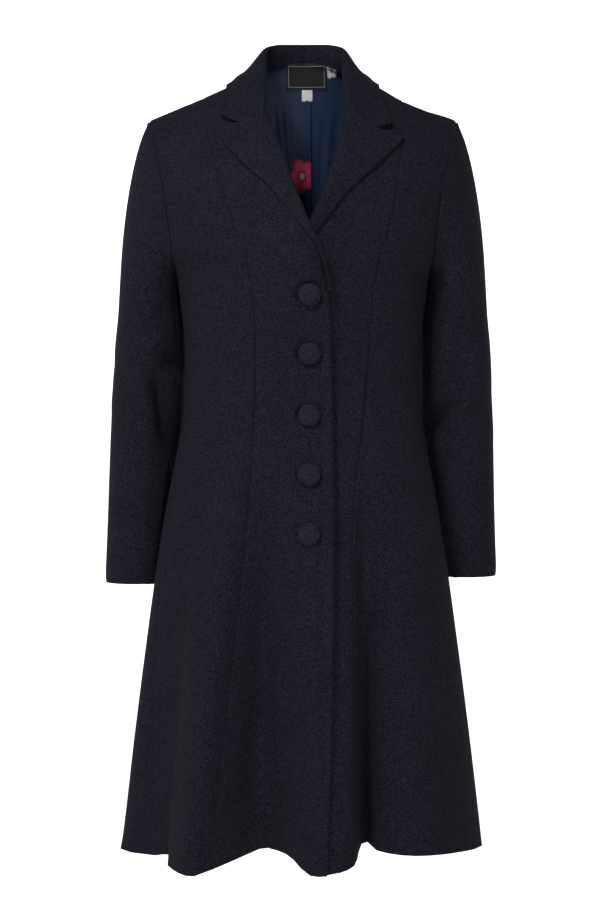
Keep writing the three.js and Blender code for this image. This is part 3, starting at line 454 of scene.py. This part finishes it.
def crossingHeight(piece, x, z):
    if piece.name.startswith("left_centre_front"):
        return foldHeight(x, z, 1, edgeBed)
    if not piece.name.startswith("right_centre_front"):
        return 0
    height = foldHeight(x, z, 1, edgeRoll)
    for number in range(1, buttonCount + 1):
        low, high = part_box(f"button_{number}")
        away = np.hypot(x - (low[0] + high[0]) / 2, z - (low[2] + high[2]) / 2)
        height -= ringDip["deep"] * np.exp(-((away - ringDip["radius"]) / ringDip["wide"]) ** 2)
    return height


# The left shoulder sinks a little between the collar and the sleeve head
shoulderDip = 3.6 * mm
leftShoulder = {"collar": (0.098, 0.13), "sleeve": (-0.192, -0.155), "top": (-0.1, -0.05)}

# The centre back seam is drawn together just above the hem
hemPull = 0.6 * mm
backHem = {"middle": (-0.004, -0.001), "foot": (0.92, 0.96)}

bodyOval = {"wide": 0.16, "deep": 0.11, "middle": 0.004}


def creaseBody(piece):
    points = pointsOf(piece)
    x, y, z = points.T
    if "centre_back" in piece.name:
        side = handSign[piece.name.split("_")[0]]
        near = softStep(-np.abs(x), *backHem["middle"]) * softStep(-z, *backHem["foot"])
        points[:, 0] -= side * hemPull * near
    across = softStep(x, *leftShoulder["collar"]) * softStep(-x, *leftShoulder["sleeve"])
    points[:, 2] -= shoulderDip * across * softStep(z, *leftShoulder["top"])
    front = softStep(-y, *bodyFront)
    height = sum(foldHeight(x, z, front, fold) for fold in bodyFolds) + crossingHeight(piece, x, z)
    away = outwardWays(x, y - bodyOval["middle"], bodyOval["wide"], bodyOval["deep"])
    sink = sinkWay(points, away) * (seamSink * nearRim(piece))[:, None]
    points = points + away * height[:, None] + sink
    if piece.name.startswith("right_centre_front"):
        openNeck(points)
    setPoints(piece, points)


# The inner wall of the sleeve leans on the body just below the armhole
leanReach = 2.2 * mm
sleeveLean = {"inwards": (0.0, 0.035), "foot": (-0.36, -0.3), "top": (0.225, 0.27)}
sleeveFront = (-0.01, 0.02)
sleeveInner = (0.042, 0.056)
sleeveOval = {"wide": 0.045, "deep": 0.055}


def creaseSleeve(piece, hand):
    points = pointsOf(piece)
    x, y, z = points.T
    share = np.clip((sleeveMiddle["topZ"] - z) / (sleeveMiddle["topZ"] - sleeveMiddle["lowZ"]), 0, 1)
    middleY = sleeveMiddle["topY"] + share * (sleeveMiddle["lowY"] - sleeveMiddle["topY"])
    outwards = x * handSign[hand] - sleeveMiddle["x"]
    front = softStep(middleY - y, *sleeveFront)
    away = outwardWays(outwards * handSign[hand], y - middleY, sleeveOval["wide"], sleeveOval["deep"])
    outer = 1 - softStep(-outwards, *sleeveInner)
    height = sum(foldHeight(outwards, z, front, fold) for fold in sleeveFolds[hand])
    along = softStep(z, *sleeveLean["foot"]) * softStep(-z, *sleeveLean["top"])
    lean = softStep(-outwards, *sleeveLean["inwards"]) * along
    sink = sinkWay(points, away) * (seamSink * nearRim(piece))[:, None]
    points = points + away * (height * outer)[:, None] + sink
    points[:, 0] -= handSign[hand] * leanReach * lean
    setPoints(piece, points)


# A refined copy of a node, with its rim in a vertex group and kept sharp
def clothFrom(name, levels):
    piece = bpy.data.objects.new(name + "_cloth", nodes[name].data.copy())
    bpy.context.scene.collection.objects.link(piece)
    select(piece)
    bpy.ops.object.mode_set(mode="EDIT")
    bpy.ops.mesh.select_all(action="SELECT")
    bpy.ops.mesh.remove_doubles(threshold=weldDistance)
    bpy.ops.mesh.tris_convert_to_quads(
        face_threshold=math.pi, shape_threshold=math.pi, topology_influence=2
    )
    bpy.ops.mesh.normals_make_consistent(inside=False)
    bpy.ops.transform.shrink_fatten(value=seamClosing)
    bpy.ops.mesh.select_all(action="DESELECT")
    bpy.ops.mesh.edges_select_sharp(sharpness=sharpRim)
    bpy.ops.transform.edge_crease(value=1)
    bpy.ops.object.vertex_group_assign_new()
    bpy.ops.object.mode_set(mode="OBJECT")
    applyModifier(piece, "SUBSURF", levels=levels, render_levels=levels)
    return piece


# 1 on a rim, and quickly less away from it
def nearRim(piece):
    weights = [vertex.groups[0].weight if vertex.groups else 0 for vertex in piece.data.vertices]
    return np.array(weights) ** seamNarrowing


def roundEdges(piece):
    applyModifier(
        piece, "BEVEL", width=edgeRounding, segments=edgeSegments,
        limit_method="ANGLE", angle_limit=sharpEdge
    )


def finishPiece(piece, material, slot, *replaced):
    piece.data.materials.clear()
    piece.data.materials.append(material)
    if replaced:
        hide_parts(*replaced)
    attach(piece, "root")


def makeCloth(name, levels, shape=None):
    piece = clothFrom(name, levels)
    if shape:
        shape(piece)
    roundEdges(piece)
    shadeSmooth(piece, clothAngle)
    finishPiece(piece, materials["wool"], "wool", name)
    return piece


cloth = {}
for hand in sides:
    for part in ("centre_front", "side_front", "side_back", "centre_back"):
        name = f"{hand}_{part}"
        cloth[name] = makeCloth(name, 3 if part == "centre_front" else 2, creaseBody)
    for part in ("top_sleeve", "under_sleeve"):
        name = f"{hand}_{part}"
        cloth[name] = makeCloth(name, 3, lambda piece: creaseSleeve(piece, hand))
cloth["right_lapel"] = makeCloth("right_lapel", 3, rollLapel)
cloth["left_lapel"] = makeCloth("left_lapel", 3)
cloth["collar"] = makeCloth("collar", 2, restCollar)
print("cloth pieces", len(cloth))


# Lining: soft upright folds towards the inside, in millimetres. They lean towards the middle as they
# drop. The right half laps over the left one in a pleat that runs down the back below the label.
liningFolds = [
    {"x": -14, "wide": 9, "high": 3.4, "lean": 0.04}, {"x": 24, "wide": 7, "high": 3.8, "lean": -0.05},
    {"x": -33, "wide": 7, "high": 4.6, "lean": 0.09}, {"x": 40, "wide": 7, "high": 4.4, "lean": -0.08},
    {"x": -52, "wide": 10, "high": 2.6, "lean": 0.12}, {"x": 60, "wide": 11, "high": 2.6, "lean": -0.1},
    {"x": -76, "wide": 12, "high": 2.0, "lean": 0.14}, {"x": 82, "wide": 11, "high": 2.2, "lean": -0.12},
]
pleatReach = 11.5 * mm
pleatRise = 2.4 * mm
pleatFlat = 10 * mm
middleWidth = 0.6 * mm
labelFoot = 4 * mm
pleatFade = 20 * mm
liningFade = 60 * mm


def drapeLining(piece):
    points = pointsOf(piece)
    if piece.name.startswith("right"):
        below = softStep(-points[:, 2], labelFoot, labelFoot + pleatFade)
        near = softStep(points[:, 0], -pleatFlat, -middleWidth) * below
        points[:, 0] += pleatReach * near
        points[:, 1] -= pleatRise * near
    x, y, z = points.T
    drop = -z
    fade = softStep(drop, labelFoot, labelFoot + liningFade)
    inwards = 0
    for fold in liningFolds:
        off = x - fold["x"] * mm - fold["lean"] * drop
        inwards = inwards + fold["high"] * mm * np.exp(-(off / (fold["wide"] * mm)) ** 2)
    points[:, 1] -= inwards * fade
    setPoints(piece, points)


for hand in sides:
    name = f"{hand}_back_lining"
    piece = clothFrom(name, 3)
    drapeLining(piece)
    shadeSmooth(piece, clothAngle)
    finishPiece(piece, materials[hand + "Lining"], "lining", name)

for name, material in (("label", "label"), ("care_tag", "tape")):
    piece = clothFrom(name, 2)
    shadeSmooth(piece, tapeAngle)
    finishPiece(piece, materials[material], name, name)
print("lining, label and tag")


# Covered buttons, in the coat's wool painted lighter: a painted highlight on their faces
for number in range(1, buttonCount + 1):
    name = f"button_{number}"
    piece = clothFrom(name, 2)
    shadeSmooth(piece, clothAngle)
    finishPiece(piece, materials["buttonWool"], "covered_button", name)
print("buttons", buttonCount)


# Buttonholes: a slit with a ridge of thread round it, lying on the right front. The slit is a near-black
# sheet of painted shade in the cut. x is the middle of each, in millimetres.
holeRows = [
    {"button": 1, "x": -3}, {"button": 2, "x": -3}, {"button": 3, "x": -3},
    {"button": 4, "x": 11}, {"button": 5, "x": 12},
]
holeLength = 30 * mm
holeWidth = 2.2 * mm
threadRadius = 0.45 * mm
threadTwist = 0.18
threadLift = 0.2 * mm
slitShadeShare = 0.6
slitShadeLift = 0.25 * mm
stitches = 44
stitchSteps = 4
ringSides = 6
beforeCoat = -0.4


def frontSurface(x, z):
    panel = cloth["right_centre_front"]
    place, normal = panel.ray_cast(Vector((x, beforeCoat, z)), Vector((0, 1, 0)))[1:3]
    return place, normal


def meshObject(name, points, faces):
    data = bpy.data.meshes.new(name)
    data.from_pydata([tuple(p) for p in points], [], faces)
    data.update()
    piece = bpy.data.objects.new(name, data)
    bpy.context.scene.collection.objects.link(piece)
    return piece


# The point that lies at a share of the way round a slot with round ends
def stadium(share, length, width):
    straight = length - width
    around = 2 * straight + math.pi * width
    reach = (share % 1) * around
    if reach < straight:
        return reach - straight / 2, width / 2
    reach -= straight
    if reach < math.pi * width / 2:
        angle = math.pi / 2 - 2 * reach / width
        return straight / 2 + math.cos(angle) * width / 2, math.sin(angle) * width / 2
    reach -= math.pi * width / 2
    if reach < straight:
        return straight / 2 - reach, -width / 2
    angle = -math.pi / 2 - 2 * (reach - straight) / width
    return -straight / 2 + math.cos(angle) * width / 2, math.sin(angle) * width / 2


def buttonhole(number, x, z):
    steps = stitchSteps * stitches
    points, faces = [], []
    for i in range(steps):
        dx, dz = stadium(i / steps, holeLength, holeWidth)
        nx, nz = stadium(i / steps + 0.5 / steps, holeLength, holeWidth)
        place, normal = frontSurface(x + dx, z + dz)
        out = Vector((nx - dx, 0, nz - dz)).normalized().cross(Vector((0, -1, 0)))
        twist = math.cos(2 * math.pi * i / stitchSteps)
        radius = threadRadius * (1 - threadTwist + threadTwist * twist)
        for k in range(ringSides):
            angle = 2 * math.pi * k / ringSides
            rise = threadLift + radius * math.sin(angle)
            points.append(place + normal * rise + out * radius * math.cos(angle))
    for i in range(steps):
        for k in range(ringSides):
            a, b = i * ringSides, ((i + 1) % steps) * ringSides
            faces.append((a + k, b + k, b + (k + 1) % ringSides, a + (k + 1) % ringSides))
    piece = meshObject(f"buttonhole_{number}", points, faces)
    select(piece)
    bpy.ops.object.mode_set(mode="EDIT")
    bpy.ops.mesh.select_all(action="SELECT")
    bpy.ops.mesh.normals_make_consistent(inside=False)
    bpy.ops.object.mode_set(mode="OBJECT")
    shadeSmooth(piece)
    finishPiece(piece, materials["thread"], "wool")


# A near-black sheet laid over the cut: painted shade where the slit opens
def slit(number, x, z):
    rim = [stadium(i / stitches, holeLength, holeWidth * slitShadeShare) for i in range(stitches)]
    points = []
    for dx, dz in rim:
        place, normal = frontSurface(x + dx, z + dz)
        points.append(place + normal * slitShadeLift)
    piece = meshObject(f"buttonhole_slit_{number}", points, [tuple(range(stitches))])
    applyModifier(piece, "SOLIDIFY", thickness=slitShadeLift, offset=0)
    finishPiece(piece, materials["slit"], "wool")


for row in holeRows:
    low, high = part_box(f"button_{row['button']}")
    buttonhole(row["button"], row["x"] * mm, (low[2] + high[2]) / 2)
    slit(row["button"], row["x"] * mm, (low[2] + high[2]) / 2)
print("buttonholes", len(holeRows))


# Backdrop, lights and camera, in metres and watts
floorHeight = -1.32
floorFront = -6
floorBack = 1.0
backdropDepth = 6.5
backdropTop = 4
bendRadius = 1.5
bendSteps = 16
stageWidth = 9
paper = {"tone": "#f4f4f4", "roughness": 0.9}


def stageSheet(name, rows, glow):
    points = [(x, y, z) for y, z in rows for x in (-stageWidth, stageWidth)]
    faces = [(2 * i, 2 * i + 1, 2 * i + 3, 2 * i + 2) for i in range(len(rows) - 1)]
    piece = meshObject(name, points, faces)
    shadeSmooth(piece)
    material, tree, shader = newMaterial(f"{name} paper", paper["roughness"])
    shader.inputs["Base Color"].default_value = colour(paper["tone"])
    shader.inputs["Emission Color"].default_value = (1, 1, 1, 1)
    shader.inputs["Emission Strength"].default_value = glow
    piece.data.materials.append(material)


def backdropRows():
    rows = [(floorBack, floorHeight)]
    for i in range(bendSteps + 1):
        angle = math.pi / 2 * i / bendSteps
        rows.append((
            backdropDepth + bendRadius * math.sin(angle),
            floorHeight + bendRadius * (1 - math.cos(angle)),
        ))
    return rows + [(backdropDepth + bendRadius, backdropTop)]


coatMiddle = Vector((0, 0, -0.45))
lamps = [
    {"name": "key", "place": (-1.1, -2.1, 1.9), "size": 0.8, "power": 58},
    {"name": "left strip", "place": (-3.1, -1.1, 0.2), "size": 0.8, "power": 15},
    {"name": "right strip", "place": (3.0, -1.6, -0.6), "size": 0.8, "power": 13},
    {"name": "front", "place": (0.6, -3.2, -0.75), "size": 0.7, "power": 17},
]
worldStrength = 0.05


def areaLight(lamp):
    data = bpy.data.lights.new(lamp["name"], "AREA")
    data.shape = "DISK"
    data.size = lamp["size"]
    data.energy = lamp["power"]
    light = bpy.data.objects.new(lamp["name"], data)
    light.location = lamp["place"]
    light.rotation_euler = (coatMiddle - Vector(lamp["place"])).to_track_quat("-Z", "Y").to_euler()
    bpy.context.scene.collection.objects.link(light)


stageSheet("floor", [(floorFront, floorHeight), (floorBack, floorHeight)], 0)
stageSheet("backdrop", backdropRows(), 1)
for lamp in lamps:
    areaLight(lamp)
world = bpy.data.worlds.new("studio")
world.use_nodes = True
background = world.node_tree.nodes["Background"]
background.inputs["Color"].default_value = (1, 1, 1, 1)
background.inputs["Strength"].default_value = worldStrength
bpy.context.scene.world = world

cameraPlace = Vector((-3 * mm, -2.8, -0.42))
cameraTarget = Vector((-3 * mm, 0, -0.481))
viewHeight = 1.17
sensorHeight = 36
camera = bpy.data.objects.new("camera", bpy.data.cameras.new("camera"))
camera.data.sensor_fit = "VERTICAL"
camera.data.sensor_height = sensorHeight
camera.data.lens = sensorHeight * (cameraTarget - cameraPlace).length / viewHeight
camera.data.clip_end = 100
camera.location = cameraPlace
camera.rotation_euler = (cameraTarget - cameraPlace).to_track_quat("-Z", "Y").to_euler()
bpy.context.scene.collection.objects.link(camera)
bpy.context.scene.camera = camera
bpy.context.scene.view_settings.view_transform = "Standard"
